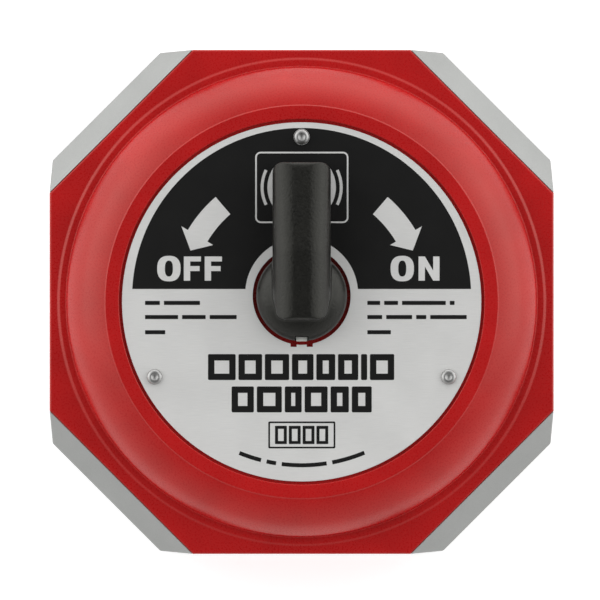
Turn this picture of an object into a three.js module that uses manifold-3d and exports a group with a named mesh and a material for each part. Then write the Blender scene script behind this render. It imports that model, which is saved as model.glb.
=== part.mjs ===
// A switchable magnetic holder: a red octagonal housing with a steel pole shoe at each cut corner.
// Two diametrally magnetised rings are stacked inside. The lower one is fixed, and the lever turns the
// upper one by a half turn, so that their fields add up (ON) or close through the pole shoes (OFF).
// Millimetres, +Z up. The origin is the centre of the resting face, and the label faces +Z.
// At rest the lever points to +Y, half way between OFF (-X) and ON (+X).
import * as THREE from "three";
import { mergeVertices } from "three/addons/utils/BufferGeometryUtils.js";
import Module from "manifold-3d";

// Fits
const seatGap = 0.15; // between two pieces that rest on each other
const slipGap = 0.3; // round a piece that drops into a pocket or a drilled hole
const runGap = 0.08; // radial, between a journal and its bush
const airGap = 0.5; // radial, between the rotor and the pole shoes

// Housing and base plate
const flatAcross = 150; // across two opposite flats
const cornerCut = 42.6; // cut off each corner, measured along a flat
const bodyHeight = 36; // top of the flange
const baseThickness = 4;
const flangeThickness = 5;
const wallThickness = 6; // outer wall along each flat
const ribThickness = 4; // between a lightening pocket and the bore or a pole shoe
const pocketRoof = 12; // metal left above a lightening pocket
const bossHalf = 8; // half the width of the screw boss at the middle of a flat

// Dome on top of the flange, from its root inwards
const flangeMargin = 2.7; // strip of flange between the dome's root step and a flat
const rootStep = 0.4; // height of the step round the root
const rootLand = 1.2;
const rootFillet = 1.5;
const shoulderRadius = 15;
const shoulderEnd = THREE.MathUtils.degToRad(75); // slope at the foot of the shoulder
const shoulderStart = THREE.MathUtils.degToRad(15); // slope where it meets the bezel
const bezelWidth = 4.8;
const recessDepth = 1.6; // label recess, below the bezel
const roofThickness = 6; // under the label recess

// Label plate and its rivets
const plateThickness = 1;
const plateGap = 0.9; // shadow gap round the plate
const rivetInset = 4.35; // rivet axis to the plate's rim
const rivetAngles = [90, 207, 333];
const rivetHead = 2.3;
const rivetHeadHeight = 1.1;
const rivetShank = 1.4;
const rivetLength = 5;
const tabHalf = 1.5; // half the index tab at the hole's lower edge
const tabSlotWidth = 1.8;
const tabSlotDepth = 0.6;

// Pole shoes
const poleStandout = 6.3; // pole face beyond the housing's cut corner
const poleBevelDepth = 6;
const poleEndRelief = 1.2;
const neckGap = 8; // from the bore inwards to where two neighbouring necks would meet

// Rotor
const axisOffset = 1.8; // rotor axis above the body's centre, towards +Y
const rotorRadius = 38.6;
const carrierRoof = 10.6;
const carrierSkirt = 1.4;
const separatorThickness = 0.8;
const spindleRadius = 5;
const spindleFlange = 16;
const spindleFlangeThickness = 4;
const spindleStandout = 14; // above the label recess, inside the lever
const bushWall = 3;
const bushFlangeWidth = 4;
const bushFlangeThickness = 1.5;
const washerThickness = 0.8;
const sealRadius = 1;

// Stop, detent and dowels
const stopInset = 8.6; // stop pin axis to the rotor's rim
const stopTravel = THREE.MathUtils.degToRad(180);
const stopPinRise = 3.2; // into the groove
const stopGrooveDepth = 4;
const dowelRadius = 2;
const dowelDepth = 5;
const dowelInset = 14.6; // dowel axis to the magnet carrier's rim
const ballRadius = 2.5;
const ballBelowFlange = 5; // ball centre below the top of the flange
const notchDepth = 1;
const plugRadius = 4;
const plugLength = 14;
const plugSunk = 0.6;
const plugSocket = 2;
const plugSocketDepth = 4;
const springWire = 0.35;
const springTurns = 7;

// Screws
const screwHead = 4.7;
const screwShank = 2.4;
const screwLength = 14;
const flatScrewInset = 13; // from a flat
const shoeScrewInset = 14; // from a cut corner
const shoeScrewSpread = 22;
const spindleScrewHead = 3;
const spindleScrewShank = 1.4;
const spindleScrewLength = 9;
const spindleScrewCircle = 11.6;
const socketShare = 0.36; // size and depth of a hex socket, as a share of the head's radius

// Lever
const hubRadius = 13.5;
const hubGap = 1.05; // red ring that shows between the hub and the plate
const hubLift = 0.5; // hub above the recess floor
const hubSkirt = 2.6;
const hubHeight = 9;
const leverWidth = 17.3;
const leverTailWidth = 15.3;
const leverReach = 39.6; // axis to tip
const leverTail = 7.1; // axis to the blunt end
const leverHeight = 17.5; // above the label plate, over the hub
const leverDrop = 3; // lower at the tip
const leverLift = 2.2; // under the bar
const leverCorner = 3; // plan radius at its four corners
const leverCrown = 5.2; // width of the rounding along each side
const leverCrownDepth = 6;
const leverPinRadius = 1.5;
const leverPinAbove = 10; // above the label plate
const markWidth = 3.6;
const markLength = 1.3;
const markDepth = 0.8;

// Roundness
const fine = 64;
const medium = 36;
const coarse = 12;

const over = 1; // how far a cutting tool reaches past what it cuts

// Levels and radii that follow from the sizes above
const halfFlat = flatAcross / 2;
const halfCut = (flatAcross - cornerCut) / Math.SQRT2; // centre to a cut corner
const halfPole = halfCut + poleStandout;
const stepRadius = halfFlat - flangeMargin;
const landRadius = stepRadius - rootLand;
const footRadius = landRadius - rootFillet * Math.sin(shoulderEnd);
const bezelRadius = footRadius - shoulderRadius * (Math.sin(shoulderEnd) - Math.sin(shoulderStart));
const recessRadius = bezelRadius - bezelWidth;
const footLevel = bodyHeight + rootStep + rootFillet * (1 - Math.cos(shoulderEnd));
const bezelLevel = footLevel + shoulderRadius * (Math.cos(shoulderStart) - Math.cos(shoulderEnd));
const recessLevel = bezelLevel - recessDepth;
const roofLevel = recessLevel - roofThickness; // underside of the roof, top of the rotor's bore
const plateBottom = recessLevel + seatGap;
const plateTop = plateBottom + plateThickness;
const plateRadius = recessRadius - plateGap;
const plateHole = hubRadius + hubGap;
const rivetCircle = plateRadius - rivetInset;
const neckTop = bodyHeight - flangeThickness - seatGap;
const neckHalf = (rotorRadius + airGap - neckGap) / Math.SQRT2;
const boreRadius = rotorRadius + airGap + slipGap;
const bushRadius = spindleRadius + runGap + bushWall;
const carrierTop = roofLevel - bushFlangeThickness - washerThickness - 3 * seatGap;
const upperMagnetTop = carrierTop - carrierRoof - seatGap;
const lowerMagnetBottom = baseThickness + seatGap;
const magnetThickness = (upperMagnetTop - lowerMagnetBottom - separatorThickness - 2 * seatGap) / 2;
const separatorBottom = lowerMagnetBottom + magnetThickness + seatGap;
const upperMagnetBottom = upperMagnetTop - magnetThickness;
const carrierBore = rotorRadius - carrierSkirt;
const magnetHole = bushRadius + seatGap;
const spindleBottom = lowerMagnetBottom + seatGap;
const spindleTop = recessLevel + spindleStandout;
const stopCircle = rotorRadius - stopInset;
const dowelCircle = rotorRadius - dowelInset;
const ballLevel = bodyHeight - ballBelowFlange;
const ballPlace = rotorRadius + ballRadius + seatGap; // from the rotor's axis
const hubBottom = recessLevel + hubLift;
const leverBottom = plateTop + leverLift;
const leverTop = plateTop + leverHeight;

const wasm = await Module();
wasm.setup();

// ---- Shapes ----

// A closed geometry as a solid that can be joined and cut.
function solidOf(geometry) {
  const bare = geometry.index ? geometry.toNonIndexed() : geometry.clone();
  bare.deleteAttribute("normal");
  bare.deleteAttribute("uv");
  const merged = mergeVertices(bare, 1e-4);
  const vertProperties = merged.attributes.position.array;
  const triVerts = new Uint32Array(merged.index.array);
  return new wasm.Manifold(new wasm.Mesh({ numProp: 3, vertProperties, triVerts }));
}

// A cylinder along Z.
function disc(radius, low, high, sides = medium, x = 0, y = 0) {
  const geometry = new THREE.CylinderGeometry(radius, radius, high - low, sides);
  return solidOf(geometry.rotateX(Math.PI / 2).translate(x, y, (low + high) / 2));
}

function ring(outer, inner, low, high, sides = medium) {
  return disc(outer, low, high, sides).subtract(disc(inner, low - over, high + over, sides));
}

// A solid of revolution about Z, from [radius, height] points that run up the outside.
function turned(profile, sides = medium) {
  const points = profile.map(([radius, height]) => new THREE.Vector2(radius, height));
  return solidOf(new THREE.LatheGeometry(points, sides).rotateX(Math.PI / 2));
}

function shapeOf(points) {
  return new THREE.Shape(points.map(([x, y]) => new THREE.Vector2(x, y)));
}

// A flat outline pushed up along Z.
function prism(points, low, high) {
  const geometry = new THREE.ExtrudeGeometry(shapeOf(points), { depth: high - low, bevelEnabled: false });
  return solidOf(geometry.translate(0, 0, low));
}

// A box from its low and high corners.
function block([x0, y0, z0], [x1, y1, z1]) {
  const geometry = new THREE.BoxGeometry(x1 - x0, y1 - y0, z1 - z0);
  return solidOf(geometry.translate((x0 + x1) / 2, (y0 + y1) / 2, (z0 + z1) / 2));
}

// A cylinder along X, centred on the Z axis.
function rodX(radius, length, level, sides = coarse) {
  const geometry = new THREE.CylinderGeometry(radius, radius, length, sides);
  return solidOf(geometry.rotateZ(Math.PI / 2).translate(0, 0, level));
}

// A cylinder along Y.
function rodY(radius, from, to, level, sides = coarse) {
  const geometry = new THREE.CylinderGeometry(radius, radius, to - from, sides);
  return solidOf(geometry.translate(0, (from + to) / 2, level));
}

// Points along an arc in a profile, from one angle to another.
function arc(x, y, radiusX, radiusY, from, to, steps) {
  const curve = new THREE.EllipseCurve(x, y, radiusX, radiusY, from, to, to < from);
  return curve.getPoints(steps).map((p) => [p.x, p.y]);
}

function turnedBy(solid, degrees) {
  return solid.rotate([0, 0, degrees]);
}

function onCircle(radius, degrees) {
  const angle = THREE.MathUtils.degToRad(degrees);
  return [radius * Math.cos(angle), radius * Math.sin(angle)];
}

// ---- Materials ----

const redCoat = new THREE.MeshStandardMaterial({ color: 0xb01a20, roughness: 0.35, metalness: 0 });
const poleSteel = new THREE.MeshStandardMaterial({ color: 0xb5b6b2, roughness: 0.45, metalness: 0.9 });
const baseSteel = new THREE.MeshStandardMaterial({ color: 0xa4a5a3, roughness: 0.4, metalness: 0.9 });
const labelAluminium = new THREE.MeshStandardMaterial({ color: 0xc8c8c6, roughness: 0.4, metalness: 0.8 });
const rivetMetal = new THREE.MeshStandardMaterial({ color: 0xc0c0c0, roughness: 0.25, metalness: 1 });
const blackPlastic = new THREE.MeshStandardMaterial({ color: 0x2b2b2a, roughness: 0.5, metalness: 0 });
const whiteInlay = new THREE.MeshStandardMaterial({ color: 0xe4e6e0, roughness: 0.5, metalness: 0 });
const nickelMagnet = new THREE.MeshStandardMaterial({ color: 0xb9bab8, roughness: 0.2, metalness: 1 });
const rotorAluminium = new THREE.MeshStandardMaterial({ color: 0xa9abad, roughness: 0.35, metalness: 0.9 });
const spindleSteel = new THREE.MeshStandardMaterial({ color: 0x9a9c9e, roughness: 0.25, metalness: 1 });
const bronze = new THREE.MeshStandardMaterial({ color: 0xb08a4a, roughness: 0.35, metalness: 1 });
const brightSteel = new THREE.MeshStandardMaterial({ color: 0xc4c6c8, roughness: 0.15, metalness: 1 });
const blackSteel = new THREE.MeshStandardMaterial({ color: 0x33343a, roughness: 0.4, metalness: 0.8 });
const sealRubber = new THREE.MeshStandardMaterial({ color: 0x161616, roughness: 0.7, metalness: 0 });

// ---- Groups ----

const holder = new THREE.Group();
const fixed = new THREE.Group();
const rotor = new THREE.Group();
rotor.position.set(0, axisOffset, 0);
holder.add(fixed, rotor);

// Adds a solid to a group as a named mesh, and returns the mesh so that it can be placed.
function piece(group, name, solid, material) {
  const { vertProperties, triVerts } = solid.getMesh();
  const geometry = new THREE.BufferGeometry();
  geometry.setAttribute("position", new THREE.BufferAttribute(vertProperties, 3));
  geometry.setIndex(new THREE.BufferAttribute(triVerts, 1));
  geometry.computeVertexNormals();
  const mesh = new THREE.Mesh(geometry, material);
  mesh.name = name;
  group.add(mesh);
  return mesh;
}

// ---- Fixed pieces ----

// The housing's eight-cornered outline: flats on the axes, cut corners on the diagonals.
function octagon() {
  const short = halfFlat - cornerCut;
  return [
    [halfFlat, -short],
    [halfFlat, short],
    [short, halfFlat],
    [-short, halfFlat],
    [-halfFlat, short],
    [-halfFlat, -short],
    [-short, -halfFlat],
    [short, -halfFlat],
  ];
}

// Bezel, rounded shoulder, fillet and root step, down to the flange.
function dome() {
  const quarter = Math.PI / 2;
  const shoulder = arc(
    footRadius - shoulderRadius * Math.sin(shoulderEnd),
    footLevel - shoulderRadius * Math.cos(shoulderEnd),
    shoulderRadius,
    shoulderRadius,
    quarter - shoulderEnd,
    quarter - shoulderStart,
    8,
  );
  const fillet = arc(
    landRadius,
    bodyHeight + rootStep + rootFillet,
    rootFillet,
    rootFillet,
    -quarter,
    -quarter - shoulderEnd,
    3,
  );
  const root = [
    [0, bodyHeight - over],
    [stepRadius, bodyHeight - over],
    [stepRadius, bodyHeight + rootStep],
  ];
  return turned([...root, ...fillet.slice(0, -1), ...shoulder, [0, bezelLevel]], fine);
}

// Triangular lightening pocket beside the boss of the +Y flat, towards +X.
function lighteningPocket() {
  const slant = (neckHalf + slipGap + ribThickness) * Math.SQRT2; // y minus x along the pole shoe
  const inner = halfFlat - wallThickness;
  const outline = [
    [bossHalf, bossHalf + slant],
    [inner - slant, inner],
    [bossHalf, inner],
  ];
  const core = disc(boreRadius + ribThickness, 0, bodyHeight, medium, 0, axisOffset);
  return prism(outline, 0, bodyHeight - pocketRoof).subtract(core);
}

// Arc groove in the roof that the stop pin runs in. It ends just past the pin at ON and at OFF.
function stopGroove() {
  const half = dowelRadius + slipGap;
  const past = (dowelRadius + slipGap) / stopCircle;
  const from = Math.PI / 2 - stopTravel / 2 - past;
  const to = Math.PI / 2 + stopTravel / 2 + past;
  const outer = arc(0, 0, stopCircle + half, stopCircle + half, from, to, medium);
  const inner = arc(0, 0, stopCircle - half, stopCircle - half, to, from, medium);
  const groove = prism([...outer, ...inner], roofLevel - over, roofLevel + stopGrooveDepth);
  return groove.translate([0, axisOffset, 0]);
}

// Window for a pole shoe's neck, on the +X axis.
function neckWindow() {
  const half = neckHalf + slipGap;
  return block([0, -half, 0], [halfPole, half, neckTop + seatGap]);
}

// Bore for the detent ball and its spring, and the wider thread of the plug behind them.
function detentBore() {
  const bore = rodY(ballRadius + slipGap, -halfFlat, axisOffset - rotorRadius, ballLevel);
  return bore.add(rodY(plugRadius + slipGap, -halfFlat - over, plugEnd() + seatGap, ballLevel));
}

// Every pocket that opens at the housing's underside.
function housingHollows() {
  const hollows = [disc(boreRadius, 0, roofLevel, fine, 0, axisOffset), stopGroove()];
  for (const degrees of [45, 135, 225, 315]) hollows.push(turnedBy(neckWindow(), degrees));
  for (const degrees of [0, 90, 180, 270]) {
    const pocket = lighteningPocket();
    hollows.push(turnedBy(pocket, degrees), turnedBy(pocket.mirror([1, 0, 0]), degrees));
  }
  for (const [x, y] of flatScrewPlaces()) {
    hollows.push(disc(screwShank + slipGap, 0, screwLength + over, coarse, x, y));
  }
  return hollows;
}

function housing() {
  let solid = prism(octagon(), baseThickness + seatGap, bodyHeight).add(dome());
  for (const hollow of housingHollows()) solid = solid.subtract(hollow);
  solid = solid.subtract(disc(recessRadius, recessLevel, bezelLevel + over, fine));
  solid = solid.subtract(disc(bushRadius + seatGap, 0, bezelLevel, medium, 0, axisOffset));
  for (const degrees of rivetAngles) {
    const [x, y] = onCircle(rivetCircle, degrees);
    const low = recessLevel - rivetLength - slipGap;
    solid = solid.subtract(disc(rivetShank + slipGap, low, recessLevel + over, coarse, x, y));
  }
  return solid.subtract(detentBore());
}

function flatScrewPlaces() {
  return [0, 90, 180, 270].map((degrees) => onCircle(halfFlat - flatScrewInset, degrees));
}

// The two screws of the pole shoe on the +X axis, before it is turned to its corner.
function shoeScrewPlaces() {
  const along = halfCut - shoeScrewInset;
  return [
    [along, -shoeScrewSpread / 2],
    [along, shoeScrewSpread / 2],
  ];
}

// Head with the bevelled pole face outside the housing, and a neck that reaches in to the rotor.
function poleShoe(degrees) {
  const near = halfCut + seatGap;
  const cornerReach = halfFlat * Math.SQRT2;
  const nearHalf = cornerReach - near;
  const farHalf = cornerReach - halfPole - poleEndRelief;
  const plan = prism(
    [
      [near, -nearHalf],
      [halfPole, -farHalf],
      [halfPole, farHalf],
      [near, nearHalf],
    ],
    0,
    bodyHeight,
  );
  const side = new THREE.ExtrudeGeometry(
    shapeOf([
      [near, 0],
      [halfPole, 0],
      [halfPole, bodyHeight - poleBevelDepth],
      [near, bodyHeight],
    ]),
    { depth: 2 * nearHalf, bevelEnabled: false },
  );
  const section = solidOf(side.rotateX(Math.PI / 2).translate(0, nearHalf, 0));
  const neck = block([0, -neckHalf, baseThickness + seatGap], [near + over, neckHalf, neckTop]);
  let shoe = plan.intersect(section).add(neck);
  for (const [x, y] of shoeScrewPlaces()) {
    shoe = shoe.subtract(disc(screwShank + slipGap, 0, screwLength + over, coarse, x, y));
  }
  const air = disc(rotorRadius + airGap, 0, bodyHeight, fine, 0, axisOffset);
  return turnedBy(shoe, degrees).subtract(air);
}

// Countersunk screw that points up from its head at z = 0, or the hole for one where a gap is given.
function countersunk(head, shank, length, gap = 0) {
  const rim = socketShare * head;
  const past = gap > 0 ? over : 0;
  return turned(
    [
      [0, -past],
      [head + gap, -past],
      [head + gap, rim],
      [shank + gap, rim + head - shank],
      [shank + gap, length + past],
      [0, length + past],
    ],
    coarse,
  );
}

function socketScrew(head, shank, length) {
  const depth = socketShare * head;
  return countersunk(head, shank, length).subtract(disc(depth, -over, depth, 6));
}

function basePlate() {
  let plate = prism(octagon(), 0, baseThickness);
  const hole = countersunk(screwHead, screwShank, baseThickness, slipGap);
  for (const [x, y] of flatScrewPlaces()) plate = plate.subtract(hole.translate([x, y, 0]));
  for (const degrees of [45, 135, 225, 315]) {
    for (const [x, y] of shoeScrewPlaces()) {
      plate = plate.subtract(turnedBy(hole.translate([x, y, 0]), degrees));
    }
  }
  for (const degrees of [0, 180]) {
    const [x, y] = onCircle(dowelCircle, degrees);
    const low = baseThickness - dowelDepth / 2 - seatGap;
    const socket = disc(dowelRadius + seatGap, low, baseThickness + over, coarse, x, y + axisOffset);
    plate = plate.subtract(socket);
  }
  return plate;
}

function baseScrew() {
  return socketScrew(screwHead, screwShank, screwLength);
}

function labelPlate() {
  let plate = disc(plateRadius, plateBottom, plateTop, fine);
  plate = plate.subtract(disc(plateHole, 0, bezelLevel, medium, 0, axisOffset));
  for (const side of [-1, 1]) {
    const middle = side * (tabHalf + tabSlotWidth / 2);
    const far = axisOffset - plateHole - tabSlotDepth;
    const low = [middle - tabSlotWidth / 2, far, 0];
    const high = [middle + tabSlotWidth / 2, axisOffset - plateHole / 2, bezelLevel];
    plate = plate.subtract(block(low, high));
  }
  for (const degrees of rivetAngles) {
    const [x, y] = onCircle(rivetCircle, degrees);
    plate = plate.subtract(disc(rivetShank + slipGap, 0, bezelLevel, coarse, x, y));
  }
  return plate;
}

// Domed drive rivet, standing on z = 0 with its shank below.
function rivet() {
  const crown = arc(0, 0, rivetHead, rivetHeadHeight, 0, Math.PI / 2, 4);
  const shank = [
    [0, -rivetLength],
    [rivetShank, -rivetLength],
    [rivetShank, 0],
  ];
  return turned([...shank, ...crown.slice(0, -1), [0, rivetHeadHeight]], coarse);
}

function dowel(length) {
  return disc(dowelRadius, 0, length, coarse);
}

function lowerMagnet() {
  let magnet = ring(rotorRadius + airGap - seatGap, magnetHole, 0, magnetThickness, fine);
  for (const degrees of [0, 180]) {
    const [x, y] = onCircle(dowelCircle, degrees);
    magnet = magnet.subtract(disc(dowelRadius + seatGap, -over, dowelDepth + seatGap, coarse, x, y));
  }
  return magnet;
}

function upperBush() {
  const inner = spindleRadius + runGap;
  const flange = ring(bushRadius + bushFlangeWidth, inner, roofLevel - seatGap - bushFlangeThickness,
    roofLevel - seatGap);
  const top = recessLevel - 2 * sealRadius - 2 * seatGap;
  return flange.add(ring(bushRadius, inner, roofLevel - bushFlangeThickness / 2, top));
}

function seal() {
  const middle = spindleRadius + runGap + sealRadius;
  const section = new THREE.EllipseCurve(middle, 0, sealRadius, sealRadius).getPoints(8);
  return solidOf(new THREE.LatheGeometry(section, medium).rotateX(Math.PI / 2));
}

// Inner end of the threaded plug that holds the detent spring, along Y.
function plugEnd() {
  return -halfFlat + plugSunk + plugLength;
}

function detentPlug() {
  const outside = plugEnd() - plugLength;
  const socket = rodY(plugSocket, outside - over, outside + plugSocketDepth, 0, 6);
  return rodY(plugRadius, outside, plugEnd(), 0).subtract(socket);
}

// Helical spring along Y between the plug and the ball.
function detentSpring() {
  const from = plugEnd() + springWire + seatGap;
  const to = axisOffset - ballPlace - ballRadius - springWire - seatGap;
  const helixRadius = ballRadius - springWire - seatGap;
  const points = [];
  const stepsPerTurn = 10;
  for (let i = 0; i <= springTurns * stepsPerTurn; i++) {
    const angle = (i / stepsPerTurn) * 2 * Math.PI;
    const along = THREE.MathUtils.lerp(from, to, i / (springTurns * stepsPerTurn));
    points.push(new THREE.Vector3(helixRadius * Math.cos(angle), along, helixRadius * Math.sin(angle)));
  }
  const path = new THREE.CatmullRomCurve3(points);
  const section = new THREE.Shape().absarc(0, 0, springWire, 0, 2 * Math.PI);
  const options = { steps: points.length - 1, curveSegments: 3, extrudePath: path, bevelEnabled: false };
  return solidOf(new THREE.ExtrudeGeometry(section, options));
}

// ---- Turning pieces, round the rotor's own axis ----

function carrier() {
  let solid = disc(rotorRadius, upperMagnetBottom, carrierTop, fine);
  solid = solid.subtract(disc(carrierBore, 0, upperMagnetTop + seatGap, fine));
  solid = solid.subtract(disc(spindleRadius + slipGap, 0, bezelLevel));
  const seatLevel = carrierTop - spindleFlangeThickness - seatGap;
  solid = solid.subtract(disc(spindleFlange + slipGap, seatLevel, bezelLevel));
  for (const degrees of spindleScrewAngles()) {
    const [x, y] = onCircle(spindleScrewCircle, degrees);
    const low = carrierTop - spindleScrewLength - slipGap;
    solid = solid.subtract(disc(spindleScrewShank + slipGap, low, carrierTop, coarse, x, y));
  }
  const stopBottom = carrierTop - dowelDepth - seatGap;
  solid = solid.subtract(disc(dowelRadius + seatGap, stopBottom, bezelLevel, coarse, 0, stopCircle));
  for (const side of [-1, 1]) {
    const dowelTop = upperMagnetTop + dowelDepth + 2 * seatGap;
    const hole = disc(dowelRadius + seatGap, 0, dowelTop, coarse, 0, side * dowelCircle);
    const notch = solidOf(new THREE.SphereGeometry(ballRadius + seatGap, coarse, coarse / 2));
    const away = side * (rotorRadius + ballRadius - notchDepth);
    solid = solid.subtract(hole).subtract(notch.translate([away, 0, ballLevel]));
  }
  return solid;
}

function upperMagnet() {
  let magnet = ring(carrierBore - seatGap, magnetHole, upperMagnetBottom, upperMagnetTop, fine);
  for (const side of [-1, 1]) {
    const low = upperMagnetTop - dowelDepth - seatGap;
    magnet = magnet.subtract(
      disc(dowelRadius + seatGap, low, bezelLevel, coarse, 0, side * dowelCircle),
    );
  }
  return magnet;
}

function spindleScrewAngles() {
  return [30, 150, 270];
}

// Points down from its head at z = 0.
function spindleScrew() {
  return socketScrew(spindleScrewHead, spindleScrewShank, spindleScrewLength).rotate([180, 0, 0]);
}

// Stepped spindle: lower journal, bolted flange, upper journal and the end that carries the lever.
function spindle() {
  const flangeBottom = carrierTop - spindleFlangeThickness;
  let solid = disc(spindleRadius, spindleBottom, spindleTop);
  solid = solid.add(disc(spindleFlange, flangeBottom, carrierTop));
  const hole = countersunk(spindleScrewHead, spindleScrewShank, spindleFlangeThickness, slipGap);
  for (const degrees of spindleScrewAngles()) {
    const [x, y] = onCircle(spindleScrewCircle, degrees);
    solid = solid.subtract(hole.rotate([180, 0, 0]).translate([x, y, carrierTop]));
  }
  return solid.subtract(rodX(leverPinRadius + seatGap, 4 * spindleRadius, plateTop + leverPinAbove));
}

// The bar in plan: straight-sided out to the tip, and slightly narrower towards the tail.
function leverPlan() {
  const half = leverWidth / 2;
  const tip = half - leverCorner;
  const tail = leverTailWidth / 2 - leverCorner;
  const low = -leverTail + leverCorner;
  const high = leverReach - leverCorner;
  const quarter = Math.PI / 2;
  const corner = (x, y, from) => arc(x, y, leverCorner, leverCorner, from, from + quarter, 4);
  return [
    ...corner(tip, high, 0),
    ...corner(-tip, high, quarter),
    [-half, 0],
    ...corner(-tail, low, 2 * quarter),
    ...corner(tail, low, 3 * quarter),
    [half, 0],
  ];
}

// The bar's section across its length: flat in the middle and rounded down to both sides.
function leverSection() {
  const half = leverWidth / 2;
  const low = leverTop - leverCrownDepth;
  const right = arc(half - leverCrown, low, leverCrown, leverCrownDepth, 0, Math.PI / 2, 6);
  const left = right.map(([x, z]) => [-x, z]).reverse();
  return [[-half, leverBottom], [half, leverBottom], ...right, ...left];
}

// The bar's two rounded ends from the side. Its top is left to the section.
function leverSide() {
  const quarter = Math.PI / 2;
  const above = leverTop + over;
  const fallen = (leverReach - leverCorner - hubRadius) / (leverReach - hubRadius);
  const tipLevel = leverTop - fallen * leverDrop - leverCorner;
  const tip = arc(leverReach - leverCorner, tipLevel, leverCorner, leverCorner, 0, quarter, 4);
  const tailLevel = leverTop - leverCorner;
  const tail = arc(-leverTail + leverCorner, tailLevel, leverCorner, leverCorner, quarter, 2 * quarter, 4);
  const top = [
    [leverReach - leverCorner, above],
    [-leverTail + leverCorner, above],
  ];
  return [[-leverTail, leverBottom], [leverReach, leverBottom], ...tip, ...top, ...tail];
}

// A length of the bar along Y whose height at its far end is a share of its height at its near end.
function leverLength(near, far, share) {
  const options = { depth: far - near, bevelEnabled: false };
  const geometry = new THREE.ExtrudeGeometry(shapeOf(leverSection()), options);
  geometry.rotateX(Math.PI / 2).translate(0, far, 0);
  const place = geometry.attributes.position;
  for (let i = 0; i < place.count; i++) {
    const atFar = place.getY(i) > (near + far) / 2;
    if (atFar) place.setZ(i, leverBottom + share * (place.getZ(i) - leverBottom));
  }
  return solidOf(geometry);
}

// Level over the hub, then falling to the tip.
function leverBar() {
  const tipShare = 1 - leverDrop / (leverTop - leverBottom);
  const level = leverLength(-leverTail - over, hubRadius, 1);
  const falling = leverLength(hubRadius, leverReach, tipShare);
  const depth = leverWidth + 2 * over;
  const side = new THREE.ExtrudeGeometry(shapeOf(leverSide()), { depth, bevelEnabled: false });
  side.rotateX(Math.PI / 2).rotateZ(Math.PI / 2).translate(-depth / 2, 0, 0);
  const plan = prism(leverPlan(), 0, leverTop + over);
  return level.add(falling).intersect(plan).intersect(solidOf(side));
}

function leverHub() {
  const dish = arc(0, hubBottom + hubSkirt, hubRadius, hubHeight - hubSkirt, 0, Math.PI / 2, 6);
  return turned([[0, hubBottom], [hubRadius, hubBottom], ...dish.slice(0, -1), [0, hubBottom + hubHeight]]);
}

// White mark, sunk into the foot of the hub at its rim.
function indexMark() {
  const top = hubBottom + hubSkirt;
  return block(
    [-markWidth / 2, -hubRadius, top - markDepth],
    [markWidth / 2, -hubRadius + markLength, top],
  );
}

function markSocket() {
  const half = markWidth / 2 + seatGap;
  return block(
    [-half, -hubRadius - over, hubBottom + hubSkirt - markDepth - seatGap],
    [half, -hubRadius + markLength + seatGap, hubBottom + hubHeight],
  );
}

function lever() {
  let solid = leverHub().add(leverBar());
  solid = solid.subtract(disc(spindleRadius + slipGap, 0, spindleTop + slipGap));
  solid = solid.subtract(rodX(leverPinRadius + seatGap, 2 * leverWidth, plateTop + leverPinAbove));
  return solid.subtract(markSocket());
}

// ---- Assembly ----

piece(fixed, "housing", housing(), redCoat);
piece(fixed, "base_plate", basePlate(), baseSteel);
const corners = { 45: "ne", 135: "nw", 225: "sw", 315: "se" };
for (const [degrees, corner] of Object.entries(corners)) {
  piece(fixed, `pole_shoe_${corner}`, poleShoe(Number(degrees)), poleSteel);
  const turn = new THREE.Group();
  turn.rotation.z = THREE.MathUtils.degToRad(Number(degrees));
  fixed.add(turn);
  shoeScrewPlaces().forEach(([x, y], i) => {
    piece(turn, `shoe_screw_${corner}_${i + 1}`, baseScrew(), blackSteel).position.set(x, y, seatGap);
  });
}
flatScrewPlaces().forEach(([x, y], i) => {
  piece(fixed, `housing_screw_${i + 1}`, baseScrew(), blackSteel).position.set(x, y, seatGap);
});

piece(fixed, "label_plate", labelPlate(), labelAluminium);
rivetAngles.forEach((degrees, i) => {
  const [x, y] = onCircle(rivetCircle, degrees);
  piece(fixed, `label_rivet_${i + 1}`, rivet(), rivetMetal).position.set(x, y, plateTop + seatGap);
});

piece(fixed, "lower_magnet", lowerMagnet(), nickelMagnet).position.set(0, axisOffset, lowerMagnetBottom);
[0, 180].forEach((degrees, i) => {
  const [x, y] = onCircle(dowelCircle, degrees);
  const pin = piece(fixed, `magnet_dowel_${i + 1}`, dowel(dowelDepth * 1.5), brightSteel);
  pin.position.set(x, y + axisOffset, baseThickness - dowelDepth / 2);
});
const lowerBush = ring(bushRadius, spindleRadius + runGap, 0, magnetThickness);
piece(fixed, "lower_bush", lowerBush, bronze).position.set(0, axisOffset, lowerMagnetBottom);
const separator = ring(rotorRadius, spindleRadius + slipGap, 0, separatorThickness, fine);
piece(fixed, "magnet_separator", separator, bronze).position.set(0, axisOffset, separatorBottom);
piece(fixed, "upper_bush", upperBush(), bronze).position.set(0, axisOffset, 0);
const sealLevel = recessLevel - sealRadius - seatGap;
piece(fixed, "spindle_seal", seal(), sealRubber).position.set(0, axisOffset, sealLevel);

const ball = solidOf(new THREE.SphereGeometry(ballRadius, coarse, coarse / 2));
piece(fixed, "detent_ball", ball, brightSteel).position.set(0, axisOffset - ballPlace, ballLevel);
piece(fixed, "detent_spring", detentSpring(), spindleSteel).position.set(0, 0, ballLevel);
piece(fixed, "detent_plug", detentPlug(), blackSteel).position.set(0, 0, ballLevel);

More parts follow.
